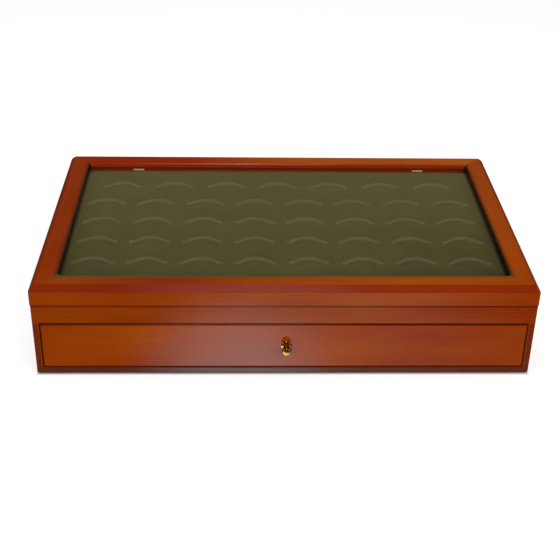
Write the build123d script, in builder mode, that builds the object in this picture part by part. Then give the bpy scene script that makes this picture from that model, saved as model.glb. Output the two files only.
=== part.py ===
"""Coin display case: a glazed lid on butt hinges, a slotted coin insert and one drawer.

Millimetres. The origin is the middle of the felt underside.
+X is right, +Y is back, +Z is up.
"""
from build123d import *
import math
import os

# ---------------------------------------------------------------- driving dimensions
# outside
case_width = 380.0           # lid, left to right
case_depth = 238.0           # lid, front to back
base_height = 60.7           # bottom board and walls, without the felt
lid_thickness = 15.8
felt_thickness = 1.0
felt_margin = 4.0            # bare rim of the bottom board round the felt
seam_gap = 0.6               # air between the rim of the base and the lid
lid_overhang = 0.3           # lid past the base, each side

# base boards
side_thickness = 5.0
front_rail_height = 15.7
back_thickness = 9.0
bottom_thickness = 5.4
shelf_thickness = 3.0
shelf_housing = 2.5          # depth of the groove that holds the shelf
corner_radius = 1.4          # upright corners of base and lid
bottom_edge_radius = 1.2
opening_bevel = 0.7          # 45 degree bevel round the drawer's opening

# lid frame
rail_width = 19.0
lid_chamfer = 4.5            # 45 degree bevel round the top
lip_thickness = 4.0          # wood over the edge of the glass
lip_edge_radius = 2.0
rabbet_width = 6.0
opening_corner_radius = 4.0
glass_thickness = 2.5
glass_clearance = 1.0        # each side, in the rabbet
bead_setback = 0.3           # beads stop short of the lid's underside
bead_edge = 0.6              # bevel on the bead's inner lower edge

# staples that pin the long beads
staple_offset = 127.0        # either side of the middle
staple_crown = 9.5
staple_wire = 1.0
staple_proud = 0.5
staple_leg = 4.0
staple_drop = 1.3            # under the glass, to the middle of the crown

# coin insert
insert_clearance = 1.0       # to the beads, each side
insert_below_lid_top = 8.5
insert_edge_radius = 1.5
insert_corner_radius = 3.0
backing_thickness = 3.0
batten_clearance = 0.3       # insert to battens
batten_below_rim = 1.0

# coin slots
coin_diameter = 26.5
coin_play = 0.5              # slot arc over coin, on the diameter
slot_half_angle = 52.0       # of the arc
slot_wing = 7.6              # straight wing at each end of the arc
slot_wing_slope = 32.0
slot_width = 1.8
slot_depth = 6.0
slots_per_row = 8
slots_back_row = 7
slot_rows = 5
slot_margin_side = 22.5      # insert edge to the middle of an end slot
slot_margin_side_back_row = 33.0
slot_margin_front = 37.4     # insert edge to the top of the front row's arcs
slot_margin_back = 24.2
slot_shift = -1.5            # the whole pattern lies a little left of the middle

# hinges
hinge_offset = 127.0         # either side of the middle
hinge_length = 25.0
hinge_leaf_width = 6.6       # from the pin's axis
hinge_leaf_thickness = 0.8
hinge_leaf_gap = 0.4         # between closed leaves
hinge_barrel_radius = 1.6
hinge_pin_radius = 0.8
hinge_pin_proud = 0.3
hinge_pin_end_clearance = 0.1
hinge_running_clearance = 0.04
hinge_knuckle_gap = 0.15
hinge_inset = 2.6            # axis in from the lid's back face
hinge_stop_angle = 101.5     # where the bevelled back edges would meet
hinge_recess_clearance = 0.2
screw_spacing = 15.0
screw_from_axis = 4.2
screw_shank_radius = 0.8
screw_head_radius = 1.6
screw_length = 7.0
screw_tip_play = 0.2         # screw's tip to the end of its hole
screw_slot_width = 0.4
screw_slot_depth = 0.3
screw_slot_turn = 35.0       # degrees from the hinge's line
screw_fit = 0.02             # hole over screw, on the radius

# bumpers on the rim, under the lid's front corners
bumper_radius = 2.0
bumper_slack = 0.1           # air over a bumper
bumper_inset = 20.0          # in from the end of the front rail

# drawer
drawer_gap_side = 0.8        # round the drawer front
drawer_gap_height = 0.9
drawer_front_thickness = 9.0
drawer_front_edge_radius = 0.8
drawer_board_thickness = 6.0
drawer_side_height = 34.0
drawer_slide_clearance = 0.1  # under the drawer sides
drawer_rear_clearance = 1.5
drawer_panel_thickness = 3.0
drawer_panel_housing = 3.0
drawer_panel_lift = 3.0      # wood under the panel's groove
lining_thickness = 1.5
lining_clearance = 0.3

# knob
knob_from_middle = 1.0       # right of the middle of the drawer
knob_length = 10.2           # drawer face to the front of the ball
knob_ball_radius = 3.7
knob_neck_radius = 2.1
knob_foot_radius = 4.3
knob_foot_thickness = 1.3
knob_rim_thickness = 0.8     # upright rim of the foot
knob_flare = 1.05            # top of the foot to the foot of the neck
knob_thread_radius = 1.5
knob_thread_depth = 7.0
knob_screw_head_radius = 3.0
knob_screw_head_thickness = 2.0
knob_screw_slot_width = 0.8
knob_screw_end_play = 0.5    # screw's tip to the end of the hole

cut_past = 1.0               # how far a cutting shape runs past what it cuts

# ---------------------------------------------------------------- worked-out sizes
base_width = case_width - 2 * lid_overhang
base_depth = case_depth - 2 * lid_overhang
inside_width = base_width - 2 * side_thickness
inside_front = -base_depth / 2 + side_thickness
inside_back = base_depth / 2 - back_thickness

base_floor = felt_thickness                      # underside of the bottom board
board_top = base_floor + bottom_thickness
rim = base_floor + base_height
rail_bottom = rim - front_rail_height
shelf_top = rail_bottom + shelf_thickness
lid_underside = rim + seam_gap
lid_top = lid_underside + lid_thickness
glass_top = lid_top - lip_thickness
glass_underside = glass_top - glass_thickness

opening_width = case_width - 2 * rail_width
opening_depth = case_depth - 2 * rail_width
rabbet_long = opening_width + 2 * rabbet_width
rabbet_short = opening_depth + 2 * rabbet_width
bead_bottom = lid_underside + bead_setback

insert_width = opening_width - 2 * insert_clearance
insert_depth = opening_depth - 2 * insert_clearance
insert_top = lid_top - insert_below_lid_top
insert_bottom = shelf_top + backing_thickness
batten_top = rim - batten_below_rim

hinge_y = case_depth / 2 - hinge_inset
hinge_z = (rim + lid_underside) / 2

drawer_face = -base_depth / 2
drawer_front_width = inside_width - 2 * drawer_gap_side
drawer_front_bottom = board_top + drawer_gap_height
drawer_front_top = rail_bottom - drawer_gap_height
drawer_box_front = drawer_face + drawer_front_thickness
drawer_box_back = inside_back - drawer_rear_clearance
drawer_side_bottom = board_top + drawer_slide_clearance
drawer_side_top = drawer_side_bottom + drawer_side_height
drawer_inside_width = drawer_front_width - 2 * drawer_board_thickness
drawer_inside_back = drawer_box_back - drawer_board_thickness
drawer_panel_bottom = drawer_side_bottom + drawer_panel_lift
drawer_panel_top = drawer_panel_bottom + drawer_panel_thickness

knob_bore_radius = knob_thread_radius + screw_fit
knob_x = knob_from_middle
knob_z = (drawer_front_bottom + drawer_front_top) / 2

os.makedirs("parts", exist_ok=True)


def save(builder, name):
    """Label a finished piece and write it as a STEP file."""
    builder.part.label = name
    export_step(builder.part, f"parts/{name}.step")


def mitre_plan(width, depth, reach, side):
    """Corners of one mitred side of a rectangular frame, seen from above."""
    x, y = width / 2, depth / 2
    corners = {
        "front": [(-x, -y), (x, -y), (x - reach, -y + reach), (-x + reach, -y + reach)],
        "back": [(-x, y), (-x + reach, y - reach), (x - reach, y - reach), (x, y)],
        "left": [(-x, -y), (-x + reach, -y + reach), (-x + reach, y - reach), (-x, y)],
        "right": [(x, -y), (x, y), (x - reach, y - reach), (x - reach, -y + reach)],
    }
    return corners[side]


def box_between(low, high, mode=Mode.ADD):
    """A box given by its lowest and highest corners."""
    size = [high[i] - low[i] for i in range(3)]
    middle = [(high[i] + low[i]) / 2 for i in range(3)]
    with Locations(tuple(middle)):
        Box(*size, mode=mode)


# ---------------------------------------------------------------- hinges
# Leaves lie in recesses in the rim and in the lid, with the barrel in a V-shaped groove along
# the back. The two faces of the groove meet when the lid is open, and stop it there.
notch_angle = hinge_stop_angle / 2
notch_run = case_depth / 2 - hinge_y + cut_past
notch_rise = notch_run * math.tan(math.radians(notch_angle))
knuckle_third = hinge_length / 3
relief_radius = hinge_barrel_radius + hinge_recess_clearance
relief_length = hinge_length + 2 * (hinge_pin_proud + hinge_pin_end_clearance)
leaf_near = hinge_leaf_gap / 2                   # leaf's inner face, from the axis
leaf_far = leaf_near + hinge_leaf_thickness


def hinge_spots():
    """Where the middle of each hinge lies on the pin's axis."""
    return [(-hinge_offset, hinge_y, hinge_z), (hinge_offset, hinge_y, hinge_z)]


def hinge_recess(up):
    """Cut the leaf's recess and the barrel's groove, into the lid (up=1) or the base (up=-1)."""
    long = hinge_length + 2 * hinge_recess_clearance
    for x, y, z in hinge_spots():
        leaf_low = (x - long / 2, y - hinge_leaf_width - hinge_recess_clearance, z)
        leaf_high = (x + long / 2, y, z + up * leaf_far)
        low = [min(leaf_low[i], leaf_high[i]) for i in range(3)]
        high = [max(leaf_low[i], leaf_high[i]) for i in range(3)]
        box_between(low, high, Mode.SUBTRACT)
        with Locations(Location((x, y, z), (0, 90, 0))):
            Cylinder(relief_radius, relief_length, mode=Mode.SUBTRACT)


def back_notch(up):
    """Bevel the back edge so that lid and base meet at the stop angle."""
    with BuildSketch(Plane.YZ.offset(-case_width / 2 - cut_past)) as notch:
        with BuildLine():
            Polyline(
                (hinge_y, hinge_z),
                (hinge_y + notch_run, hinge_z + up * notch_rise),
                (hinge_y + notch_run, hinge_z),
                close=True,
            )
        make_face()
    extrude(notch.sketch, amount=case_width + 2 * cut_past, mode=Mode.SUBTRACT)


def screw_spots(up):
    """Axis and outer face of the four screws of one leaf row."""
    spots = []
    for x, y, z in hinge_spots():
        for side in (-1, 1):
            spots.append((x + side * screw_spacing / 2, y - screw_from_axis, z + up * leaf_near))
    return spots


def screw_holes(up):
    """Pilot holes for the hinge screws."""
    for x, y, z in screw_spots(up):
        with Locations((x, y, z + up * screw_length / 2)):
            Cylinder(
                screw_shank_radius + screw_fit,
                screw_length + 2 * screw_tip_play,
                mode=Mode.SUBTRACT,
            )


def knuckle_ends(x, third, gap):
    """Both ends of one third of the barrel, a gap short of the thirds beside it."""
    low = x + (third - 0.5) * knuckle_third
    high = low + knuckle_third
    return (low if third == -1 else low + gap, high if third == 1 else high - gap)


def leaf(up, knuckles):
    """One leaf of each hinge with its knuckles: up=1 for the lid, up=-1 for the base."""
    for x, y, z in hinge_spots():
        low_z, high_z = sorted((z + up * leaf_near, z + up * leaf_far))
        box_between(
            (x - hinge_length / 2, y - hinge_leaf_width, low_z),
            (x + hinge_length / 2, y, high_z),
        )
        # the other leaf's knuckles pass through notches in this one
        for third in (-1, 0, 1):
            if third not in knuckles:
                low_x, high_x = knuckle_ends(x, third, -hinge_knuckle_gap)
                box_between(
                    (low_x, y - relief_radius, z - relief_radius),
                    (high_x, y + relief_radius, z + relief_radius),
                    Mode.SUBTRACT,
                )
        for third in knuckles:
            low_x, high_x = knuckle_ends(x, third, hinge_knuckle_gap / 2)
            with Locations(Location(((low_x + high_x) / 2, y, z), (0, 90, 0))):
                Cylinder(hinge_barrel_radius, high_x - low_x)
        with Locations(Location((x, y, z), (0, 90, 0))):
            Cylinder(
                hinge_pin_radius + hinge_running_clearance,
                hinge_length + 2 * cut_past,
                mode=Mode.SUBTRACT,
            )
    for x, y, z in screw_spots(up):
        with Locations((x, y, z + up * hinge_leaf_thickness / 2)):
            Cone(
                (screw_head_radius if up > 0 else screw_shank_radius) + screw_fit,
                (screw_shank_radius if up > 0 else screw_head_radius) + screw_fit,
                hinge_leaf_thickness,
                mode=Mode.SUBTRACT,
            )


def screw_set(up):
    """Countersunk screws of one leaf row, with a slot in each head."""
    for x, y, z in screw_spots(up):
        head = Plane((x, y, z), z_dir=(0, 0, up))
        shank_start = head.offset(hinge_leaf_thickness)
        with BuildSketch(shank_start) as shank:
            Circle(screw_shank_radius)
        with BuildSketch(head) as rim_circle:
            Circle(screw_head_radius)
        loft(sections=[rim_circle.sketch, shank.sketch])
        extrude(shank.sketch, amount=screw_length - hinge_leaf_thickness)
        with BuildSketch(head) as slot:
            Rectangle(
                2 * (screw_head_radius + cut_past),
                screw_slot_width,
                rotation=screw_slot_turn,
            )
        extrude(slot.sketch, amount=screw_slot_depth, mode=Mode.SUBTRACT)


# ---------------------------------------------------------------- base carcass
def bevel_opening():
    """Bevel the front edge of the drawer's opening."""
    middle_z = (board_top + rail_bottom) / 2
    face = Plane(origin=(0, drawer_face, middle_z), x_dir=(1, 0, 0), z_dir=(0, 1, 0))
    with BuildSketch(face) as flare:
        Rectangle(inside_width + 2 * opening_bevel, rail_bottom - board_top + 2 * opening_bevel)
    extrude(flare.sketch, amount=opening_bevel, taper=45, mode=Mode.SUBTRACT)


# The walls are one ring with the shelf's groove and the drawer's opening, cut apart at the joints.
with BuildPart() as walls:
    with BuildSketch(Plane.XY.offset(board_top)):
        RectangleRounded(base_width, base_depth, corner_radius)
    extrude(amount=rim - board_top)
    box_between(
        (-inside_width / 2, inside_front, board_top),
        (inside_width / 2, inside_back, rim),
        Mode.SUBTRACT,
    )
    box_between(
        (-inside_width / 2, -base_depth / 2, board_top),
        (inside_width / 2, inside_front, rail_bottom),
        Mode.SUBTRACT,
    )
    box_between(
        (-inside_width / 2 - shelf_housing, inside_front - shelf_housing, rail_bottom),
        (inside_width / 2 + shelf_housing, inside_back + shelf_housing, shelf_top),
        Mode.SUBTRACT,
    )
    bevel_opening()
    back_notch(-1)
    hinge_recess(-1)
    screw_holes(-1)

rail_plan = mitre_plan(base_width, base_depth, side_thickness, "front")

with BuildPart() as base_front_rail:
    add(walls.part)
    with BuildSketch(Plane.XY.offset(rail_bottom)):
        with BuildLine():
            Polyline(*rail_plan, close=True)
        make_face()
    extrude(amount=front_rail_height, mode=Mode.INTERSECT)
save(base_front_rail, "base_front_rail")

for name, side in (("base_left_side", -1), ("base_right_side", 1)):
    with BuildPart() as board:
        add(walls.part)
        edges = sorted((side * base_width / 2, side * inside_width / 2))
        box_between(
            (edges[0], -base_depth / 2, board_top),
            (edges[1], base_depth / 2, rim),
            Mode.INTERSECT,
        )
        with BuildSketch(Plane.XY.offset(rail_bottom)):
            with BuildLine():
                Polyline(*rail_plan, close=True)
            make_face()
        extrude(amount=front_rail_height, mode=Mode.SUBTRACT)
    save(board, name)

with BuildPart() as base_back:
    add(walls.part)
    box_between(
        (-inside_width / 2, inside_back, board_top),
        (inside_width / 2, base_depth / 2, rim),
        Mode.INTERSECT,
    )
save(base_back, "base_back")

with BuildPart() as base_bottom:
    with BuildSketch(Plane.XY.offset(base_floor)):
        RectangleRounded(base_width, base_depth, corner_radius)
    extrude(amount=bottom_thickness)
    fillet(base_bottom.faces().sort_by(Axis.Z)[0].edges(), bottom_edge_radius)
    bevel_opening()
save(base_bottom, "base_bottom")

with BuildPart() as base_felt:
    with BuildSketch():
        RectangleRounded(base_width - 2 * felt_margin, base_depth - 2 * felt_margin, felt_margin)
    extrude(amount=felt_thickness)
save(base_felt, "base_felt")

with BuildPart() as tray_shelf:
    box_between(
        (-inside_width / 2 - shelf_housing, inside_front - shelf_housing, rail_bottom),
        (inside_width / 2 + shelf_housing, inside_back + shelf_housing, shelf_top),
    )
save(tray_shelf, "tray_shelf")

# ---------------------------------------------------------------- insert and its battens
insert_edge_x = insert_width / 2 + batten_clearance
insert_edge_y = insert_depth / 2 + batten_clearance

batten_boxes = {
    "tray_batten_front": ((-inside_width / 2, inside_front), (inside_width / 2, -insert_edge_y)),
    "tray_batten_back": ((-inside_width / 2, insert_edge_y), (inside_width / 2, inside_back)),
    "tray_batten_left": ((-inside_width / 2, -insert_edge_y), (-insert_edge_x, insert_edge_y)),
    "tray_batten_right": ((insert_edge_x, -insert_edge_y), (inside_width / 2, insert_edge_y)),
}
for name, (low, high) in batten_boxes.items():
    with BuildPart() as batten:
        box_between((*low, shelf_top), (*high, batten_top))
    save(batten, name)

with BuildPart() as insert_backing:
    with BuildSketch(Plane.XY.offset(shelf_top)):
        RectangleRounded(insert_width, insert_depth, insert_corner_radius)
    extrude(amount=backing_thickness)
save(insert_backing, "insert_backing")

row_pitch = (insert_depth - slot_margin_front - slot_margin_back) / (slot_rows - 1)
slot_spots = []
for row in range(slot_rows):
    back_row = row == slot_rows - 1
    count = slots_back_row if back_row else slots_per_row
    margin = slot_margin_side_back_row if back_row else slot_margin_side
    pitch = (insert_width - 2 * margin) / (count - 1)
    for place in range(count):
        x = -insert_width / 2 + margin + place * pitch + slot_shift
        slot_spots.append((x, -insert_depth / 2 + slot_margin_front + row * row_pitch))

slot_radius = (coin_diameter + coin_play) / 2
with BuildSketch() as slot_outline:
    with BuildLine():
        hump = CenterArc((0, -slot_radius), slot_radius, 90 - slot_half_angle, 2 * slot_half_angle)
        PolarLine(hump @ 0, slot_wing, -slot_wing_slope)
        PolarLine(hump @ 1, slot_wing, 180 + slot_wing_slope)
    trace(line_width=slot_width)

with BuildPart() as coin_insert:
    with BuildSketch(Plane.XY.offset(insert_bottom)):
        RectangleRounded(insert_width, insert_depth, insert_corner_radius)
    extrude(amount=insert_top - insert_bottom)
    fillet(coin_insert.faces().sort_by(Axis.Z)[-1].edges(), insert_edge_radius)
    with BuildSketch(Plane.XY.offset(insert_top)):
        with Locations(*slot_spots):
            add(slot_outline.sketch)
    extrude(amount=-slot_depth, mode=Mode.SUBTRACT)
save(coin_insert, "coin_insert")

# ---------------------------------------------------------------- lid frame
# One moulded ring, cut into four mitred rails.
with BuildPart() as bevelled_block:
    with BuildSketch(Plane.XY.offset(lid_underside)):
        Rectangle(case_width, case_depth)
    extrude(amount=lid_thickness)
    chamfer(bevelled_block.faces().sort_by(Axis.Z)[-1].edges(), lid_chamfer)

with BuildPart() as lid_ring:
    with BuildSketch(Plane.XY.offset(lid_underside)):
        RectangleRounded(case_width, case_depth, corner_radius)
    extrude(amount=lid_thickness)
    add(bevelled_block.part, mode=Mode.INTERSECT)
    with BuildSketch(Plane.XY.offset(lid_underside)):
        RectangleRounded(opening_width, opening_depth, opening_corner_radius)
    extrude(amount=lid_thickness, mode=Mode.SUBTRACT)
    inner_edges = lid_ring.faces().sort_by(Axis.Z)[-1].inner_wires()[0].edges()
    fillet(inner_edges, lip_edge_radius)
    box_between(
        (-rabbet_long / 2, -rabbet_short / 2, lid_underside),
        (rabbet_long / 2, rabbet_short / 2, glass_top),
        Mode.SUBTRACT,
    )
    back_notch(1)
    hinge_recess(1)
    screw_holes(1)

mitre_reach = rail_width + opening_corner_radius
for side in ("front", "back", "left", "right"):
    with BuildPart() as lid_rail:
        add(lid_ring.part)
        with BuildSketch(Plane.XY.offset(lid_underside)):
            with BuildLine():
                Polyline(*mitre_plan(case_width, case_depth, mitre_reach, side), close=True)
            make_face()
        extrude(amount=lid_thickness, mode=Mode.INTERSECT)
    save(lid_rail, f"lid_rail_{side}")

with BuildPart() as glass_pane:
    with BuildSketch(Plane.XY.offset(glass_underside)):
        Rectangle(rabbet_long - 2 * glass_clearance, rabbet_short - 2 * glass_clearance)
    extrude(amount=glass_thickness)
save(glass_pane, "glass_pane")


def staples(side, mode=Mode.ADD):
    """The two staples through one long bead: side=1 for the back, -1 for the front."""
    face = side * opening_depth / 2
    z = glass_underside - staple_drop
    for x in (-staple_offset, staple_offset):
        inner, outer = sorted((face, face - side * staple_proud))
        box_between(
            (x - staple_crown / 2, inner, z - staple_wire / 2),
            (x + staple_crown / 2, outer, z + staple_wire / 2),
            mode,
        )
        near, far = sorted((face, face + side * staple_leg))
        for end in (-1, 1):
            centre = x + end * (staple_crown - staple_wire) / 2
            box_between(
                (centre - staple_wire / 2, near, z - staple_wire / 2),
                (centre + staple_wire / 2, far, z + staple_wire / 2),
                mode,
            )


for name, side in (("glass_bead_front", -1), ("glass_bead_back", 1)):
    with BuildPart() as bead:
        near, far = sorted((side * opening_depth / 2, side * rabbet_short / 2))
        box_between((-rabbet_long / 2, near, bead_bottom), (rabbet_long / 2, far, glass_underside))
        inner = bead.faces().sort_by(Axis.Y)[0 if side > 0 else -1]
        chamfer(inner.edges().sort_by(Axis.Z)[0], bead_edge)
        staples(side, Mode.SUBTRACT)
    save(bead, name)

for name, side in (("glass_bead_left", -1), ("glass_bead_right", 1)):
    with BuildPart() as bead:
        near, far = sorted((side * opening_width / 2, side * rabbet_long / 2))
        box_between((near, -opening_depth / 2, bead_bottom), (far, opening_depth / 2, glass_underside))
        inner = bead.faces().sort_by(Axis.X)[0 if side > 0 else -1]
        chamfer(inner.edges().sort_by(Axis.Z)[0], bead_edge)
    save(bead, name)

with BuildPart() as bead_staples:
    staples(1)
    staples(-1)
save(bead_staples, "bead_staples")

# ---------------------------------------------------------------- hinge pieces
with BuildPart() as hinge_base_leaves:
    leaf(-1, (-1, 1))
save(hinge_base_leaves, "hinge_base_leaves")

with BuildPart() as hinge_lid_leaves:
    leaf(1, (0,))
save(hinge_lid_leaves, "hinge_lid_leaves")

with BuildPart() as hinge_pins:
    for spot in hinge_spots():
        with Locations(Location(spot, (0, 90, 0))):
            Cylinder(hinge_pin_radius, hinge_length + 2 * hinge_pin_proud)
save(hinge_pins, "hinge_pins")

with BuildPart() as hinge_screws_base:
    screw_set(-1)
save(hinge_screws_base, "hinge_screws_base")

with BuildPart() as hinge_screws_lid:
    screw_set(1)
save(hinge_screws_lid, "hinge_screws_lid")

with BuildPart() as lid_bumpers:
    with BuildSketch(Plane.XY.offset(rim)):
        with Locations(*[
            (side * (base_width / 2 - bumper_inset), inside_front - side_thickness / 2)
            for side in (-1, 1)
        ]):
            Circle(bumper_radius)
    extrude(amount=seam_gap - bumper_slack)
save(lid_bumpers, "lid_bumpers")

# ---------------------------------------------------------------- drawer
with BuildPart() as drawer_panel_groove:
    box_between(
        (
            -drawer_inside_width / 2 - drawer_panel_housing,
            drawer_box_front - drawer_panel_housing,
            drawer_panel_bottom,
        ),
        (
            drawer_inside_width / 2 + drawer_panel_housing,
            drawer_inside_back + drawer_panel_housing,
            drawer_panel_top,
        ),
    )

knob_bore = Plane((knob_x, drawer_face, knob_z), x_dir=(1, 0, 0), z_dir=(0, -1, 0))

with BuildPart() as drawer_front:
    box_between(
        (-drawer_front_width / 2, drawer_face, drawer_front_bottom),
        (drawer_front_width / 2, drawer_box_front, drawer_front_top),
    )
    fillet(drawer_front.faces().sort_by(Axis.Y)[0].edges(), drawer_front_edge_radius)
    add(drawer_panel_groove.part, mode=Mode.SUBTRACT)
    with BuildSketch(knob_bore):
        Circle(knob_bore_radius)
    extrude(amount=-drawer_front_thickness, mode=Mode.SUBTRACT)
save(drawer_front, "drawer_front")

for name, side in (("drawer_left_side", -1), ("drawer_right_side", 1)):
    with BuildPart() as board:
        near, far = sorted((side * drawer_inside_width / 2, side * drawer_front_width / 2))
        box_between(
            (near, drawer_box_front, drawer_side_bottom),
            (far, drawer_box_back, drawer_side_top),
        )
        add(drawer_panel_groove.part, mode=Mode.SUBTRACT)
    save(board, name)

with BuildPart() as drawer_back:
    box_between(
        (-drawer_inside_width / 2, drawer_inside_back, drawer_side_bottom),
        (drawer_inside_width / 2, drawer_box_back, drawer_side_top),
    )
    add(drawer_panel_groove.part, mode=Mode.SUBTRACT)
save(drawer_back, "drawer_back")

with BuildPart() as drawer_bottom:
    add(drawer_panel_groove.part)
save(drawer_bottom, "drawer_bottom")

with BuildPart() as drawer_lining:
    box_between(
        (
            -drawer_inside_width / 2 + lining_clearance,
            drawer_box_front + lining_clearance,
            drawer_panel_top,
        ),
        (
            drawer_inside_width / 2 - lining_clearance,
            drawer_inside_back - lining_clearance,
            drawer_panel_top + lining_thickness,
        ),
    )
save(drawer_lining, "drawer_lining")

# ---------------------------------------------------------------- knob
# The turned profile's x is the radius, and its y is the distance from the drawer's face.
knob_seat = Plane((knob_x, drawer_face, knob_z), x_dir=(1, 0, 0), z_dir=(0, 0, -1))
knob_axis = Axis((knob_x, drawer_face, knob_z), (0, -1, 0))
ball_centre = knob_length - knob_ball_radius
neck_end = ball_centre - math.sqrt(knob_ball_radius**2 - knob_neck_radius**2)
neck_start = knob_foot_thickness + knob_flare
ball_start_angle = -math.degrees(math.acos(knob_neck_radius / knob_ball_radius))

with BuildPart() as drawer_knob:
    with BuildSketch(knob_seat):
        with BuildLine():
            Polyline(
                (0, knob_length),
                (0, knob_thread_depth),
                (knob_bore_radius, knob_thread_depth),
                (knob_bore_radius, 0),
                (knob_foot_radius, 0),
                (knob_foot_radius, knob_rim_thickness),
            )
            RadiusArc(
                (knob_foot_radius, knob_rim_thickness),
                (knob_neck_radius, neck_start),
                -knob_foot_radius,
            )
            Line((knob_neck_radius, neck_start), (knob_neck_radius, neck_end))
            CenterArc((0, ball_centre), knob_ball_radius, ball_start_angle, 90 - ball_start_angle)
        make_face()
    revolve(axis=knob_axis)
save(drawer_knob, "drawer_knob")

with BuildPart() as knob_screw:
    with BuildSketch(knob_bore.offset(-drawer_front_thickness)):
        Circle(knob_screw_head_radius)
    extrude(amount=-knob_screw_head_thickness)
    fillet(knob_screw.faces().sort_by(Axis.Y)[-1].edges(), knob_screw_head_thickness / 2)
    with BuildSketch(knob_bore.offset(-drawer_front_thickness - knob_screw_head_thickness)):
        Rectangle(2 * knob_screw_head_radius, knob_screw_slot_width)
    extrude(amount=knob_screw_head_thickness / 2, mode=Mode.SUBTRACT)
    with BuildSketch(knob_bore.offset(-drawer_front_thickness)):
        Circle(knob_thread_radius)
    extrude(amount=drawer_front_thickness + knob_thread_depth - knob_screw_end_play)
save(knob_screw, "knob_screw")
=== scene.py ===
# %% [markdown]
# # A coin display case with a glass lid
#
# This is a low case of cherry-stained hardwood. Its lid is a mitred frame with a glass pane, on two
# brass hinges. Under the glass lies a velvet insert with five rows of curved slots, and below that
# is one full-width drawer with a small ball knob.
#
# The boards, lid, glass, hinges and drawer come as a finished frame at their real size. They could
# be modelled again here, but then two models would have to agree, so they only get their finishes.
# What is soft is modelled here: the slotted pad, the two felts and the rubber dots.

# %% Load the frame
import bmesh
import bpy
import math
from mathutils import Matrix, Vector


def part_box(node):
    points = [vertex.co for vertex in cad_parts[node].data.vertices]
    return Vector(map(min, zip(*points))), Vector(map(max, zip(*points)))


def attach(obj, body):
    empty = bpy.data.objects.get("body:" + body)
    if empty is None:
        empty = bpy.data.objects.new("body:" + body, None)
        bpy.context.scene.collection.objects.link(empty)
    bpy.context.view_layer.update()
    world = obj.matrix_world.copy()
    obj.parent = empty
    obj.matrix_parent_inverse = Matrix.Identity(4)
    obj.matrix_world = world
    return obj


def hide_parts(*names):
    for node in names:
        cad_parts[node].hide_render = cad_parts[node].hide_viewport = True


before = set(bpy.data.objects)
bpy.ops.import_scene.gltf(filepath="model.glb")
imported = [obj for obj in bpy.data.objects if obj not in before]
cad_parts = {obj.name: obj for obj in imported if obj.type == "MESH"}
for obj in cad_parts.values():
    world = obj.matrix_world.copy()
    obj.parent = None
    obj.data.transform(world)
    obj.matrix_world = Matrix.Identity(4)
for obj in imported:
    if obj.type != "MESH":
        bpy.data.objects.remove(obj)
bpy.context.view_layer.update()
MM = 0.001

# %% [markdown]
# ## The eye
#
# A product like this is shown from a little above, far enough away that its uprights hardly lean.
# The camera could be aimed with a constraint. Here it is placed by its own three angles, so that
# its small roll is kept too. It is square, so the sensor's width holds for both sides.

# %% Camera
PICTURE_SIDE = 560                        # pixels
FOCAL_LENGTH = 1087.0                     # pixels
SENSOR_WIDTH = 36.0                       # mm
EYE = Vector((-0.0313, -0.8057, 0.4892))
TILT_DOWN = math.radians(30.49)
TURN_RIGHT = math.radians(2.20)
ROLL = math.radians(1.23)

forward = Vector((
    math.sin(TURN_RIGHT) * math.cos(TILT_DOWN),
    math.cos(TURN_RIGHT) * math.cos(TILT_DOWN),
    -math.sin(TILT_DOWN),
))
level = Vector((math.cos(TURN_RIGHT), -math.sin(TURN_RIGHT), 0))
right = level * math.cos(ROLL) + level.cross(forward) * math.sin(ROLL)
up = right.cross(forward)

bpy.ops.object.camera_add(location=EYE)
camera = bpy.context.object
camera.rotation_mode = "QUATERNION"
camera.rotation_quaternion = Matrix((right, up, -forward)).transposed().to_quaternion()
camera.data.sensor_width = SENSOR_WIDTH
camera.data.lens = SENSOR_WIDTH * FOCAL_LENGTH / PICTURE_SIDE
bpy.context.scene.camera = camera
bpy.context.scene.view_settings.view_transform = "Standard"
print("lens in mm:", round(camera.data.lens, 2))

# %% [markdown]
# ## Colours and nodes
#
# Blender works in linear light, and colours are usually written as they look on a screen. One
# function turns the written colour into the linear one. A second adds a node and joins it up, so
# that a material reads from top to bottom like a recipe. Two more start an empty material and put
# a finished one on parts of the frame.

# %% Helpers for materials
def linear(hex_colour):
    """An sRGB colour such as '#8f3407' as linear red, green, blue and alpha."""
    channels = [int(hex_colour[i:i + 2], 16) / 255 for i in (1, 3, 5)]
    return (*[c / 12.92 if c <= 0.04045 else ((c + 0.055) / 1.055) ** 2.4 for c in channels], 1)


def node(tree, kind, inputs=None, **settings):
    """Add a node with its settings. An input is given a value, or the socket it is linked to."""
    made = tree.nodes.new("ShaderNode" + kind)
    for name, value in settings.items():
        setattr(made, name, value)
    for key, value in (inputs or {}).items():
        if isinstance(value, bpy.types.NodeSocket):
            tree.links.new(value, made.inputs[key])
        else:
            made.inputs[key].default_value = value
    return made


def new_material(name):
    """An empty material and its node tree."""
    material = bpy.data.materials.new(name)
    material.use_nodes = True
    material.node_tree.nodes.clear()
    return material, material.node_tree


def give(material, *names):
    """Put one material on every slot of these nodes of the frame."""
    for name in names:
        for material_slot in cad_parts[name].material_slots:
            material_slot.material = material


print("red of #8f3407 in linear light:", round(linear("#8f3407")[0], 3))
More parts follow.
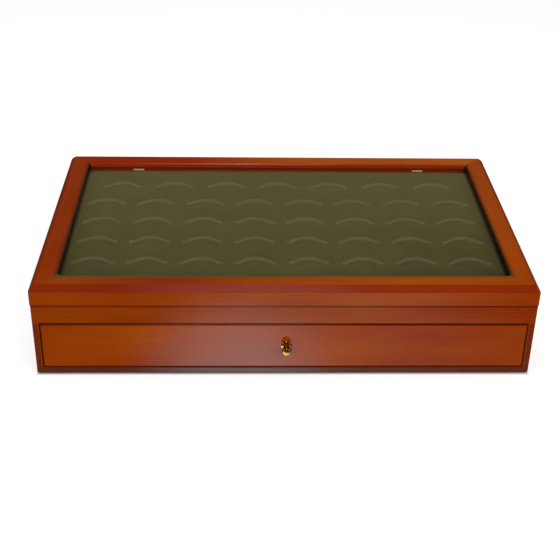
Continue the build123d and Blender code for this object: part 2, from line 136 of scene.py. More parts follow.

# %% [markdown]
# ## Cherry-stained wood under lacquer
#
# The boards are a plain, pale hardwood, toned with a red-brown spray stain and finished with a
# semi-gloss lacquer. The stain hides most of the figure. What is left is a soft drift of tone along
# each board, fine straight fibres and short dark pores, and the lacquer mirrors what is near it.
#
# An image of wood would show its edges where boards meet. A noise that is stretched along the grain
# has no edges, and it turns at a mitre as soon as the stretch is along another axis. Level faces
# are redder at the left and more golden at the right, partly a drift in the toner and partly
# painted light from the right. End grain drinks more stain, and so do bevels, where the cutter has
# opened the fibres. Shade is painted into the colour too: on the walls and in a band round the
# glass, and as fine dark lines under the lid and round the drawer.

# %% Where shade is painted
lid_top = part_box("lid_rail_front")[1].z
seam_height = (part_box("base_front_rail")[1].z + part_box("lid_rail_front")[0].z) / 2
glass_edge = (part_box("lid_rail_right")[0].x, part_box("lid_rail_back")[0].y)
drawer_low, drawer_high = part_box("drawer_front")
# Shade is painted on the lip round the glass, in a band beside it, under the seam and round the
# drawer.
LIP_ROUND = 2.0 * MM                      # how far the lip's wall and its round reach outwards
LIP_START, LIP_FULL = 0.1 * MM, 0.9 * MM  # below the lid's top
SEAM_START, SEAM_FULL = 1.9 * MM, 1.3 * MM    # below the middle of the seam
RIM_START, RIM_FULL = 1.0 * MM, 0.3 * MM  # inside the edge of the drawer's front
BAND_WIDEST, BAND_EVEN = -0.16, 0.04      # along x, for the band of painted shade beside the glass


def beyond(tree, place, axes, middle, half):
    """How far a place is outside a box across two axes, and less than nothing inside it."""
    parts = node(tree, "SeparateXYZ", {0: place}).outputs
    away = []
    for axis, centre, reach in zip(axes, middle, half):
        offset = node(tree, "Math", {0: parts[axis], 1: centre}, operation="SUBTRACT").outputs[0]
        size = node(tree, "Math", {0: offset}, operation="ABSOLUTE").outputs[0]
        away.append(node(tree, "Math", {0: size, 1: reach}, operation="SUBTRACT").outputs[0])
    return node(tree, "Math", {0: away[0], 1: away[1]}, operation="MAXIMUM").outputs[0]


def lip_shade(tree, here):
    """1 on the narrow walls round the glass, just under the top of the lid, where shade is painted.
    """
    height = node(tree, "SeparateXYZ", {0: here["Object"]}).outputs["Z"]
    low = node(tree, "MapRange", {0: height, 1: lid_top - LIP_START, 2: lid_top - LIP_FULL})
    from_glass = beyond(tree, here["Object"], "XY", (0, 0), glass_edge)
    inside = node(tree, "Math", {0: from_glass, 1: LIP_ROUND}, operation="LESS_THAN")
    return node(tree, "Math", {0: low.outputs[0], 1: inside.outputs[0]}, operation="MULTIPLY")


def shade_beside_glass(tree, here, near_mm, far_mm, most, wider_mm=0.0):
    """How much shade is painted on the flat of a rail beside the glass: most at the edge, and
    fading outwards.

    Towards the left end of the lid the band of painted shade is wider, by wider_mm.
    """
    from_glass = beyond(tree, here["Object"], "XY", (0, 0), glass_edge)
    along = node(tree, "SeparateXYZ", {0: here["Object"]}).outputs["X"]
    wider = node(tree, "MapRange", {
        0: along, 1: BAND_WIDEST, 2: BAND_EVEN, 3: wider_mm * MM, 4: 0.0,
    })
    from_glass = node(tree, "Math", {0: from_glass, 1: wider.outputs[0]},
                      operation="SUBTRACT").outputs[0]
    return node(tree, "MapRange", {
        0: from_glass, 1: near_mm * MM, 2: far_mm * MM, 3: most, 4: 0.0,
    })


def seam_shade_line(tree, here, most):
    """Painted shade: a fine dark line on the base, just under the lid."""
    height = node(tree, "SeparateXYZ", {0: here["Object"]}).outputs["Z"]
    return node(tree, "MapRange", {
        0: height, 1: seam_height - SEAM_START, 2: seam_height - SEAM_FULL, 3: 0.0, 4: most,
    })


def drawer_gap_shade(tree, here, most):
    """Painted shade: a fine dark line round the drawer's front, where its gap is."""
    middle = (drawer_low + drawer_high) / 2
    half = (drawer_high - drawer_low) / 2
    out = beyond(tree, here["Object"], "XZ", (middle.x, middle.z), (half.x, half.z))
    return node(tree, "MapRange", {0: out, 1: -RIM_START, 2: -RIM_FULL, 3: 0.0, 4: most})


print("seam at", round(seam_height / MM, 1), "mm; half the opening in mm:",
      [round(v / MM, 1) for v in glass_edge])

# %% Stained wood
DRIFT_MM = (150, 38)                      # patches of each noise, along and across the grain
FIBRE_MM = (45, 1.1)
PORE_MM = (6, 0.35)
FIBRE_SHARE = 0.25                        # of the tone; the rest is the drift
TONE_LOW, TONE_HIGH = 0.2, 0.8            # the noise that gives the deep and the pale end
DRIFT_AND_LIGHT_FROM, DRIFT_AND_LIGHT_TO = -0.1, 0.03         # where level faces turn golden, along x: toner drift and painted light
PORE_FROM, PORE_TO, PORE_STAIN = 0.62, 0.74, 0.45   # which of the noise are pores, and how dark
END_FROM, END_TO = 0.7, 0.95              # how squarely a face lies across the grain
BEVEL_FROM, BEVEL_TO = 0.05, 0.25         # nothing on level and upright faces, most at 45 degrees


def grain_noise(tree, place, grain, patch_mm, detail):
    """Noise whose patches are that long and that wide, in millimetres, along one axis."""
    along_mm, across_mm = patch_mm
    scale = [1 / (across_mm * MM)] * 3
    scale[grain] = 1 / (along_mm * MM)
    stretched = node(tree, "Mapping", {"Vector": place, "Scale": scale})
    noise = node(tree, "TexNoise", {
        "Vector": stretched.outputs[0], "Scale": 1.0, "Detail": detail, "Roughness": 0.55,
    })
    return noise.outputs[0]


def stained_wood(name, grain, deep, pale, end_grain, shift=0.0, gloss=0.07, coat=0.5,
                 bevel=("#6e140a", 0.7), drift_and_light=0.0, painted_shade=()):
    """Stained hardwood with its grain along axis 0, 1 or 2 (x, y or z).

    shift moves the pattern, so that two boards aren't alike. bevel is the colour of bevels and how
    much of it they take. The next argument is how far level faces turn golden towards the right,
    part toner drift and part painted light. The last lists where shade is painted: a function, what
    it is given, and the colour.
    """
    material, tree = new_material(name)
    here = node(tree, "TexCoord").outputs
    place = node(tree, "Mapping", {
        "Vector": here["Object"], "Location": (shift, 0.37 * shift, 0.71 * shift),
    }).outputs[0]
    level = node(tree, "SeparateXYZ", {0: here["Normal"]}).outputs["Z"]
    level = node(tree, "Math", {0: level, 1: 2.0}, operation="POWER").outputs[0]

    drift = grain_noise(tree, place, grain, DRIFT_MM, 2)
    fibre = grain_noise(tree, place, grain, FIBRE_MM, 3)
    pores = grain_noise(tree, place, grain, PORE_MM, 1)
    tone = node(tree, "Mix", {0: FIBRE_SHARE, 2: drift, 3: fibre}, data_type="FLOAT").outputs[0]
    tone = node(tree, "MapRange", {0: tone, 1: TONE_LOW, 2: TONE_HIGH}).outputs[0]
    along_case = node(tree, "SeparateXYZ", {0: here["Object"]}).outputs["X"]
    # Level faces turn golden towards the right: partly toner drift, partly painted light.
    golden = node(tree, "MapRange", {
        0: along_case, 1: DRIFT_AND_LIGHT_FROM, 2: DRIFT_AND_LIGHT_TO, 3: -drift_and_light, 4: drift_and_light,
    }, interpolation_type="SMOOTHSTEP").outputs[0]
    tone = node(tree, "Math", {0: level, 1: golden, 2: tone}, operation="MULTIPLY_ADD").outputs[0]
    colour = node(tree, "Mix", {0: tone, 6: linear(deep), 7: linear(pale)},
                  data_type="RGBA").outputs[2]

    axis = [0, 0, 0]
    axis[grain] = 1
    facing = node(tree, "VectorMath", {0: here["Normal"], 1: axis}, operation="DOT_PRODUCT")
    facing = node(tree, "Math", {0: facing.outputs["Value"]}, operation="ABSOLUTE").outputs[0]
    upright = node(tree, "Math", {0: 1.0, 1: level}, operation="SUBTRACT").outputs[0]
    sloped = node(tree, "Math", {0: level, 1: upright}, operation="MULTIPLY").outputs[0]
    layers = [
        (node(tree, "MapRange", {0: pores, 1: PORE_FROM, 2: PORE_TO, 3: 0.0, 4: PORE_STAIN}),
         end_grain),
        (node(tree, "MapRange", {0: facing, 1: END_FROM, 2: END_TO}), end_grain),
        (node(tree, "MapRange", {
            0: sloped, 1: BEVEL_FROM, 2: BEVEL_TO, 3: 0.0, 4: bevel[1],
        }), bevel[0]),
    ]
    # painted shade round the glass, under the seam and round the drawer
    layers += [(share(tree, here, *given), tint) for share, given, tint in painted_shade]
    for share, tint in layers:
        colour = node(tree, "Mix", {0: share.outputs[0], 6: colour, 7: linear(tint)},
                      data_type="RGBA").outputs[2]

    relief = node(tree, "Bump", {"Strength": 0.12, "Distance": 0.03 * MM, "Height": fibre})
    shader = node(tree, "BsdfPrincipled", {
        "Base Color": colour,
        "Roughness": 0.42,
        "Specular IOR Level": 0.0,
        "Normal": relief.outputs[0],
        "Coat Weight": coat,
        "Coat Roughness": gloss,
        "Coat IOR": 1.45,
    })
    node(tree, "OutputMaterial", {"Surface": shader.outputs[0]})
    return material


print("one recipe for all the wood")

# %% The boards outside
STAIN = {"deep": "#7b1f01", "pale": "#9f4b08", "end_grain": "#6a2a10"}
SEAM_SHADE = "#2c0b03"                      # painted shade in the seam and in the drawer's gap
THIN_BEVEL = ("#6a2a10", 0.1)
# Painted shade: a fine dark line on the base under the lid's seam.
seam = (seam_shade_line, (0.45,), SEAM_SHADE)
# Painted shade: near black on the lip walls round the glass.
shaded_lip = (lip_shade, (), "#240a02")

# On the back rail the lip wall is painted a darker red, as shade.
back_rail = stained_wood("cherry_stained_back_rail", 0, drift_and_light=0.5,
                         painted_shade=[(lip_shade, (), "#862a08")], **dict(STAIN, deep="#861900"))
# The front rail has a band of painted shade beside the glass, widest at the left.
front_rail = stained_wood("cherry_stained_front_rail", 0, drift_and_light=0.2,
                          painted_shade=[(shade_beside_glass, (2.3, 7.0, 1.0, 1.6), "#4a4423"), shaded_lip],
                          **STAIN)
# The stiles have a narrow band of painted shade beside the glass.
stile = stained_wood("cherry_stained_stile", 1, shift=0.31, bevel=THIN_BEVEL, drift_and_light=0.15,
                     painted_shade=[(shade_beside_glass, (0.5, 5.0, 0.85), "#2c1206"), shaded_lip],
                     **dict(STAIN, pale="#9a4307"))
rim_rail = stained_wood("cherry_stained_rim_rail", 0, shift=0.57, bevel=THIN_BEVEL,
                        painted_shade=[seam], **dict(STAIN, pale="#964609"))
side_board = stained_wood("cherry_stained_side", 1, shift=0.77, bevel=THIN_BEVEL, painted_shade=[seam],
                          **STAIN)
# The drawer's front has a fine painted dark line round it, the shade of its gap.
drawer_face = stained_wood("cherry_stained_drawer_front", 0, shift=0.83,
                           painted_shade=[(drawer_gap_shade, (0.6,), SEAM_SHADE)],
                           **dict(STAIN, pale="#a34c09"))
board_edge = stained_wood("cherry_stained_board_edge", 0, "#4e2412", "#62301c", "#401a0c",
                          shift=0.57)

give(back_rail, "lid_rail_back")
give(front_rail, "lid_rail_front")
give(stile, "lid_rail_left", "lid_rail_right")
give(rim_rail, "base_front_rail", "base_back")
give(side_board, "base_left_side", "base_right_side")
give(drawer_face, "drawer_front")
give(board_edge, "base_bottom")
print("stained:", [material.name for material in bpy.data.materials if "cherry" in material.name])

# %% [markdown]
# ## Wood that is seldom seen
#
# Inside, such a case isn't toned. The drawer's box is bare hardwood with a thin sealer, and the
# shelf and the board under the pad are fibreboard. The battens are stained nearly black, so that
# they disappear beside the velvet. The beads at the sides of the glass share that near black, and
# the beads at its front and back are dark red: both are painted shade of the recess under the
# glass.
# All the wood uses the same recipe as the outside, with other colours and less gloss.

# %% Plain, dark and pressed wood
DARK = {"deep": "#1c0902", "pale": "#2c1004", "end_grain": "#140601"}
# Dark red for the front and back beads is painted shade.
SHADED_RED = {"deep": "#661d06", "pale": "#7a2608", "end_grain": "#401004"}
PLAIN = {"deep": "#b98f5c", "pale": "#d3b07c", "end_grain": "#94693c"}
dark_lengthwise = stained_wood("black_stained_strip_x", 0, gloss=0.3, coat=0.3, **DARK)
dark_stain_and_shade_y = stained_wood("black_stain_and_shade_strip_y", 1, gloss=0.3, coat=0.3, **DARK)
plain_lengthwise = stained_wood("sealed_hardwood_x", 0, gloss=0.35, coat=0.25, **PLAIN)
plain_crosswise = stained_wood("sealed_hardwood_y", 1, gloss=0.35, coat=0.25, **PLAIN)

give(dark_lengthwise, "tray_batten_front", "tray_batten_back")
# The front and back beads: painted shade in the recess under the glass.
give(stained_wood("red_painted_shade_strip_x", 0, gloss=0.3, coat=0.3, **SHADED_RED),
     "glass_bead_front", "glass_bead_back")
# The side battens are stained; on the side beads the near black is painted shade.
give(dark_stain_and_shade_y, "tray_batten_left", "tray_batten_right", "glass_bead_left", "glass_bead_right")
give(plain_lengthwise, "drawer_back", "drawer_bottom")
give(plain_crosswise, "drawer_left_side", "drawer_right_side")


def fibreboard():
    """Hard-pressed wood fibre: dull brown, with short tangled fibres and darker specks."""
    material, tree = new_material("hard_pressed_fibreboard")
    place = node(tree, "TexCoord").outputs["Object"]
    felted = node(tree, "TexNoise", {
        "Vector": place, "Scale": 1 / (2.5 * MM), "Detail": 4.0, "Distortion": 1.5,
    })
    tone = node(tree, "MapRange", {0: felted.outputs[0], 1: 0.35, 2: 0.65}).outputs[0]
    colour = node(tree, "Mix", {0: tone, 6: linear("#5e4026"), 7: linear("#80603c")},
                  data_type="RGBA")
    relief = node(tree, "Bump", {
        "Strength": 0.3, "Distance": 0.1 * MM, "Height": felted.outputs[0],
    })
    shader = node(tree, "BsdfPrincipled", {
        "Base Color": colour.outputs[2], "Roughness": 0.7, "Normal": relief.outputs[0],
    })
    node(tree, "OutputMaterial", {"Surface": shader.outputs[0]})
    return material


give(fibreboard(), "tray_shelf", "insert_backing")
print("dark, plain and pressed wood given")

# %% [markdown]
# ## Metal
#
# The knob is turned brass, polished and clear-lacquered. The hinges are stamped from brass strip
# and only tumbled, so they are duller. The screws are plated steel, and the staples that pin the
# glass bead are bright wire. Metals colour their reflections and have no colour of their own, so
# the finish is almost all in the roughness: fine and even on the knob, cloudy on the hinges. Only
# the staples are different: they are little metallic and nearly white, so that their crowns show a
# painted glint.

# %% Brass and steel
def metal(name, colour, dull, smooth, rough, patch_mm, stretch=(1, 1, 1), metallic=1.0):
    """A metal whose roughness and colour drift in patches of that size.

    dull is its colour where it is tarnished. smooth and rough are the ends of its roughness.
    """
    material, tree = new_material(name)
    place = node(tree, "TexCoord").outputs["Object"]
    stretched = node(tree, "Mapping", {"Vector": place, "Scale": stretch}).outputs[0]
    patches = node(tree, "TexNoise", {
        "Vector": stretched, "Scale": 1 / (patch_mm * MM), "Detail": 3.0,
    }).outputs[0]
    roughness = node(tree, "MapRange", {0: patches, 1: 0.3, 2: 0.7, 3: smooth, 4: rough})
    tarnish = node(tree, "MapRange", {0: patches, 1: 0.5, 2: 0.8}).outputs[0]
    tint = node(tree, "Mix", {0: tarnish, 6: linear(colour), 7: linear(dull)}, data_type="RGBA")
    shader = node(tree, "BsdfPrincipled", {
        "Base Color": tint.outputs[2], "Metallic": metallic, "Roughness": roughness.outputs[0],
    })
    node(tree, "OutputMaterial", {"Surface": shader.outputs[0]})
    return material


give(metal("polished_brass", "#a0682a", "#80501c", 0.16, 0.26, 1.5), "drawer_knob")
tumbled = metal("tumbled_brass_strip", "#d6a54f", "#8f6a2c", 0.25, 0.42, 2.0, (1, 3, 3))
give(tumbled, "hinge_base_leaves", "hinge_lid_leaves")
give(metal("drawn_brass_wire", "#c99b4a", "#8a672c", 0.2, 0.35, 0.8), "hinge_pins")
plated = metal("zinc_plated_steel", "#b9b6ae", "#85827a", 0.22, 0.4, 0.6)
give(plated, "hinge_screws_base", "hinge_screws_lid", "knob_screw")
# The staples' nearly white, mostly unmetallic finish is a painted glint.
painted_glint = metal("bright_staple_wire", "#fff3d0", "#f0dfb0", 0.3, 0.45, 0.7, metallic=0.3)
give(painted_glint, "bead_staples")
print("metal on the knob, hinges, screws and staples")

# %% [markdown]
# ## Glass
#
# The pane is 2.5 mm float glass. A glass shader alone would leave the insert dark, because lamps
# reach what is under real glass only by paths that are hard to find. So lamps and scattered light
# are let straight through, less a little, and only what is looked at goes through the real glass.

# %% Float glass
def float_glass():
    """Clear glass that lets lamps and bounced light pass straight through."""
    material, tree = new_material("clear_float_glass")
    shader = node(tree, "BsdfPrincipled", {
        "Base Color": linear("#f4fbf6"),
        "Roughness": 0.0,
        "IOR": 1.5,
        "Transmission Weight": 1.0,
    })
    clear = node(tree, "BsdfTransparent", {"Color": linear("#f4f7f4")})
    path = node(tree, "LightPath")
    passing = node(tree, "Math", {
        0: path.outputs["Is Shadow Ray"], 1: path.outputs["Is Diffuse Ray"],
    }, operation="MAXIMUM")
    mixed = node(tree, "MixShader", {
        0: passing.outputs[0], 1: shader.outputs[0], 2: clear.outputs[0],
    })
    node(tree, "OutputMaterial", {"Surface": mixed.outputs[0]})
    return material


give(float_glass(), "glass_pane")
print("glass on the pane")

# %% [markdown]
# ## Velvet and felt
#
# The insert is covered with a short cotton velvet in olive. Its pile stands up, so it is dark where
# it is looked at straight and lighter where light skims over it, which is what sheen does. Nap that
# lies a little differently here and there makes soft clouds, and the cut pile itself is a fine
# grit. A real pile is 0.1 mm thick, far too fine to show, so the grit is drawn coarser.
#
# Felt is pressed wool or viscose. It has the same sheen, no nap, and short fibres in all
# directions.

# %% Pile fabrics
CUT_SHADE = "#26240f"                      # painted shade in front of each cut


def pile_fabric(name, deep, pale, glow, sheen, cloud_mm, grit_mm, lift_mm, backing=None):
    """A fabric with a pile: clouds of brushed nap, and a grit of fibre ends.

    Where the mesh's mark is above nothing, the colour turns towards the backing: partly the pile
    pressed down, partly a painted highlight on the lip behind the cut. Where it is below nothing,
    shade is painted in front of the cut.
    """
    material, tree = new_material(name)
    place = node(tree, "TexCoord").outputs["Object"]
    clouds = node(tree, "TexNoise", {
        "Vector": place, "Scale": 1 / (cloud_mm * MM), "Detail": 3.0, "Distortion": 0.4,
    }).outputs[0]
    grit = node(tree, "TexNoise", {
        "Vector": place, "Scale": 1 / (grit_mm * MM), "Detail": 2.0,
    }).outputs[0]
    tone = node(tree, "Mix", {0: 0.45, 2: clouds, 3: grit}, data_type="FLOAT").outputs[0]
    tone = node(tree, "MapRange", {0: tone, 1: 0.35, 2: 0.65}).outputs[0]
    colour = node(tree, "Mix", {0: tone, 6: linear(deep), 7: linear(pale)}, data_type="RGBA")
    if backing:
        # The mark: above nothing the pile is pressed and a highlight painted, below it shade is
        # painted.
        pressed = node(tree, "Attribute", attribute_name="pressed").outputs["Fac"]
        flat = node(tree, "MapRange", {0: pressed}).outputs[0]
        # painted shade in front of the cut
        upright = node(tree, "MapRange", {0: pressed, 1: 0.0, 2: -1.0}).outputs[0]
        colour = node(tree, "Mix", {0: flat, 6: colour.outputs[2], 7: linear(backing)},
                      data_type="RGBA")
        colour = node(tree, "Mix", {0: upright, 6: colour.outputs[2], 7: linear(CUT_SHADE)},
                      data_type="RGBA")
    relief = node(tree, "Bump", {"Strength": 0.5, "Distance": lift_mm * MM, "Height": grit})
    shader = node(tree, "BsdfPrincipled", {
        "Base Color": colour.outputs[2],
        "Roughness": 0.95,
        "Specular IOR Level": 0.1,
        "Normal": relief.outputs[0],
        "Sheen Weight": sheen,
        "Sheen Roughness": 0.45,
        "Sheen Tint": linear(glow),
    })
    node(tree, "OutputMaterial", {"Surface": shader.outputs[0]})
    return material


# The velvet's backing colour is partly a painted highlight on the lips of the cuts.
velvet = pile_fabric("olive_cotton_velvet", "#3e3717", "#4a4320", "#8f8a66", 0.35, 24, 0.8, 0.12,
                     backing="#5a5842")
drawer_felt = pile_fabric("olive_viscose_felt", "#3c3a22", "#454328", "#75735a", 0.25, 30, 1.1, 0.1)
foot_felt = pile_fabric("green_wool_felt", "#1d2b1f", "#2b3b2b", "#56665a", 0.2, 30, 1.4, 0.2)
print("fabrics:", velvet.name, drawer_felt.name, foot_felt.name)

# %% [markdown]
# ## The slotted pad
#
# The insert is a sheet of firm foam on a board, with velvet drawn over it and pushed into 39 curved
# cuts. A coin's upper edge goes into a cut and its face lies in front of it, so each cut follows
# the coin's edge and flares out at both ends. Behind the cut the velvet rolls over a soft lip and
# drops away; in front of it a shallow tongue slopes up again.
#
# A boolean could cut the slots, but its lips would be hard. Instead one slot is built as a small
# sheet of rows that follow the cut, each row at its own height, and copied to every place. The flat
# between them is then filled, and the edge of the pad is rolled down.

# %% Where the slots are
pad_low, pad_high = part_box("coin_insert")
pad_width = pad_high.x - pad_low.x
pad_depth = pad_high.y - pad_low.y

ROWS = 5
PER_ROW = 8
IN_BACK_ROW = 7
SIDE_MARGIN = 22.5 * MM                   # pad's side to the middle of an end slot
BACK_ROW_SIDE_MARGIN = 33.0 * MM
FRONT_MARGIN = 37.4 * MM                  # pad's front to the top of the first row's arcs
BACK_MARGIN = 24.2 * MM
SHIFT = -1.5 * MM                         # the whole pattern lies a little left of the middle

slot_places = []
for row in range(ROWS):
    back_row = row == ROWS - 1
    count = IN_BACK_ROW if back_row else PER_ROW
    margin = BACK_ROW_SIDE_MARGIN if back_row else SIDE_MARGIN
    y = pad_low.y + FRONT_MARGIN + row * (pad_depth - FRONT_MARGIN - BACK_MARGIN) / (ROWS - 1)
    for i in range(count):
        x = pad_low.x + margin + i * (pad_width - 2 * margin) / (count - 1) + SHIFT
        slot_places.append((x, y))
print("slots:", len(slot_places))

# %% [markdown]
# ### One slot
#
# The line of the cut is an arc that a 26.5 mm coin just clears, with a straight wing at each end.
# A place on the slot's sheet is given by how far it is along that line and how far behind it. The
# corner between arc and wing is rounded by blending the two directions, because rows that follow a
# sharp corner would cross. Along the line the depth fades out before the sheet ends, so that the
# sheet's edge lies in the flat.

# %% One slot as rows of points
ARC_RADIUS = 13.5 * MM
ARC_HALF_ANGLE = math.radians(52)
WING_LENGTH = 7.6 * MM
WING_SLOPE = math.radians(32)
CORNER_BLEND = 2.5 * MM
RUN_OUT = 0.5 * MM                        # flat beyond each end; more would meet the pad's edge
FADE_FROM, FADE_TO = -3.2 * MM, 0.4 * MM  # where the depth fades, from the end of the cut
STEPS_ALONG = 46
FINE_STEPS = 8                            # in each step, to follow the line closely
MARK_REACH = 1.5                         # the paler and the shaded marks reach a little further than the depth

half_arc = ARC_RADIUS * ARC_HALF_ANGLE
half_cut = half_arc + WING_LENGTH
half_line = half_cut + RUN_OUT


def smooth(value, low, high):
    """0 below low, 1 above high, and an even rise between."""
    t = min(max((value - low) / (high - low), 0), 1)
    return t * t * (3 - 2 * t)


def slope_at(s):
    """The line's direction at a distance s from its middle, as an angle below level."""
    share = smooth(abs(s), half_arc - CORNER_BLEND, half_arc + CORNER_BLEND)
    angle = (1 - share) * min(abs(s), half_arc + CORNER_BLEND) / ARC_RADIUS + share * WING_SLOPE
    return math.copysign(angle, s)


line = [(0.0, 0.0, 0.0)]                  # x, y and slope, from the middle to the right end
step = half_line / (STEPS_ALONG // 2 * FINE_STEPS)
x = y = 0.0
for i in range(1, STEPS_ALONG // 2 * FINE_STEPS + 1):
    angle = slope_at((i - 0.5) * step)
    x += step * math.cos(angle)
    y -= step * math.sin(angle)
    if i % FINE_STEPS == 0:
        line.append((x, y, slope_at(i * step)))
line = [(-x, y, -angle) for x, y, angle in line[:0:-1]] + line

# Across the cut, from behind the lip to the end of the tongue: how far behind the cut's line in
# mm, how deep in mm, and the mark: how hard the pile is pressed down, with a painted highlight on
# the lip. Below zero it is painted shade in front of the cut.
SECTION = [
    (3.0, 0.0, 0.0), (2.2, 0.04, 0.0), (1.7, 0.14, 0.3), (1.3, 0.36, 0.9), (0.95, 0.75, 1.0),
    (0.6, 1.25, 1.0), (0.25, 1.75, 1.0), (0.05, 2.02, 1.0), (0.0, 2.15, 0.8), (-0.03, 2.6, 0.0),
    (-0.06, 4.6, 0.0), (-0.30, 4.6, 0.0), (-0.33, 2.6, 0.0), (-0.38, 2.25, -0.6),
    (-0.6, 2.12, -0.75), (-1.4, 1.8, -0.75), (-2.6, 1.35, -0.65), (-4.0, 0.9, -0.45),
    (-5.6, 0.45, -0.25), (-7.2, 0.15, -0.1), (-8.6, 0.0, 0.0),
]


def slot_points():
    """The slot's sheet as rows of points, each with its mark of pressed pile and painted light and
    shade.
    """
    rows = []
    for behind, depth, pressed in SECTION:
        points = []
        for i, (x, y, angle) in enumerate(line):
            s = (i / STEPS_ALONG * 2 - 1) * half_line
            fade = 1 - smooth(abs(s), half_cut + FADE_FROM, half_cut + FADE_TO)
            out = behind * MM
            point = Vector((
                x + out * math.sin(angle), y + out * math.cos(angle), -depth * MM * fade,
            ))
            points.append((point, pressed * min(1, MARK_REACH * fade)))
        rows.append(points)
    return rows


one_slot = slot_points()
slot_width = one_slot[0][-1][0].x - one_slot[0][0][0].x
print("slot sheet:", len(one_slot), "rows of", len(one_slot[0]), "points,",
      round(slot_width / MM, 1), "mm wide")

# %% [markdown]
# ### The whole pad
#
# The slots' outer points and the pad's outline are the edges of the flat top. What lies between
# them, a flat with 39 holes, is filled with triangles. The outline goes round a small radius and
# down to the board, and the underside is closed. The sheets must not touch each other or the
# outline, or the fill would fold over, so the edges that don't have two faces are counted.

# %% Build the pad
EDGE_ROLL = 1.8 * MM
PAD_CORNER = 3.0 * MM
LEAST_CORNER = 0.4 * MM
ROLL_STEPS = 6
CORNER_STEPS = 6


def rounded_outline(low, high, inset, corner, z):
    """Points round a rectangle with round corners, drawn in by an inset."""
    points = []
    radius = max(corner - inset, LEAST_CORNER)
    corners = [(high.x, high.y, 0), (low.x, high.y, 90), (low.x, low.y, 180), (high.x, low.y, 270)]
    for x, y, start in corners:
        middle_x = x - math.copysign(inset + radius, x)
        middle_y = y - math.copysign(inset + radius, y)
        for i in range(CORNER_STEPS + 1):
            a = math.radians(start + 90 * i / CORNER_STEPS)
            points.append(Vector((
                middle_x + radius * math.cos(a), middle_y + radius * math.sin(a), z,
            )))
    return points


def bridge(mesh, upper, lower):
    """Faces between two closed rows of points."""
    for i in range(len(upper)):
        j = (i + 1) % len(upper)
        mesh.faces.new((upper[i], lower[i], lower[j], upper[j]))


def velvet_pad():
    """The pad with its slots, as one closed mesh."""
    mesh = bmesh.new()
    mark_layer = mesh.verts.layers.float.new("pressed")
    rims = []
    for place_x, place_y in slot_places:
        at = Vector((place_x, place_y, pad_high.z))
        grid = []
        for row in one_slot:
            grid.append([mesh.verts.new(point + at) for point, pressed in row])
            for vertex, (point, pressed) in zip(grid[-1], row):
                vertex[mark_layer] = pressed
        for upper, lower in zip(grid, grid[1:]):
            for i in range(len(upper) - 1):
                mesh.faces.new((upper[i], lower[i], lower[i + 1], upper[i + 1]))
        rim = grid[0] + [row[-1] for row in grid[1:-1]] + grid[-1][::-1]
        rims.append(rim + [row[0] for row in grid[-2:0:-1]])

    rings = []
    for i in range(ROLL_STEPS + 1):
        a = math.pi / 2 * i / ROLL_STEPS
        inset = EDGE_ROLL * (1 - math.sin(a))
        drop = EDGE_ROLL * (1 - math.cos(a))
        points = rounded_outline(pad_low, pad_high, inset, PAD_CORNER, pad_high.z - drop)
        rings.append([mesh.verts.new(point) for point in points])
    foot = rounded_outline(pad_low, pad_high, 0, PAD_CORNER, pad_low.z)
    rings.append([mesh.verts.new(point) for point in foot])
    for upper, lower in zip(rings, rings[1:]):
        bridge(mesh, upper, lower)
    mesh.faces.new(rings[-1][::-1])

    edges = []
    for loop in [*rims, rings[0]]:
        for i, vertex in enumerate(loop):
            other = loop[(i + 1) % len(loop)]
            edges.append(mesh.edges.get((vertex, other)) or mesh.edges.new((vertex, other)))
    bmesh.ops.triangle_fill(mesh, edges=edges, use_beauty=True, normal=(0, 0, 1))
    bmesh.ops.recalc_face_normals(mesh, faces=mesh.faces)
    for face in mesh.faces:
        face.smooth = True
    data = bpy.data.meshes.new("velvet_slot_pad")
    mesh.to_mesh(data)
    mesh.free()
    pad = bpy.data.objects.new("velvet_slot_pad", data)
    bpy.context.scene.collection.objects.link(pad)
    data.materials.append(velvet)
    return pad


pad = velvet_pad()
faces_at_edge = [0] * len(pad.data.edges)
for polygon in pad.data.polygons:
    for loop_index in polygon.loop_indices:
        faces_at_edge[pad.data.loops[loop_index].edge_index] += 1
print("pad faces:", len(pad.data.polygons), "edges not shared by two faces:",
      sum(count != 2 for count in faces_at_edge))
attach(pad, "base")
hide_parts("coin_insert")

# %% [markdown]
# ## Felt in the drawer and under the case
#
# The drawer's bottom is lined with felt glued to card, and a sheet of felt under the case keeps it
# from scratching a table. Both are cut from flat cloth, with soft, slightly rounded rims. A cube
# that is brought to size and bevelled gives that rim: first the four upright corners, then the
# upper edges. A plane with a solidify modifier would do as well, but its rim would stay sharp.

# %% Two felts
NEAR = 0.01 * MM                          # two heights this close are the same
CORNER_SEGMENTS, RIM_SEGMENTS = 6, 3


def select_edges(piece, wanted):
    """In edit mode, select the edges for which wanted(start, end) is true."""
    bpy.ops.object.mode_set(mode="OBJECT")
    for item in (*piece.data.vertices, *piece.data.edges, *piece.data.polygons):
        item.select = False
    points = piece.data.vertices
    for edge in piece.data.edges:
        edge.select = wanted(*[points[i].co for i in edge.vertices])
    bpy.ops.object.mode_set(mode="EDIT")
    bpy.ops.mesh.select_mode(type="EDGE")


def settle(piece):
    """Put the piece's place and size into its mesh."""
    bpy.ops.object.select_all(action="DESELECT")
    piece.select_set(True)
    bpy.context.view_layer.objects.active = piece
    bpy.ops.object.transform_apply(location=True, rotation=True, scale=True)


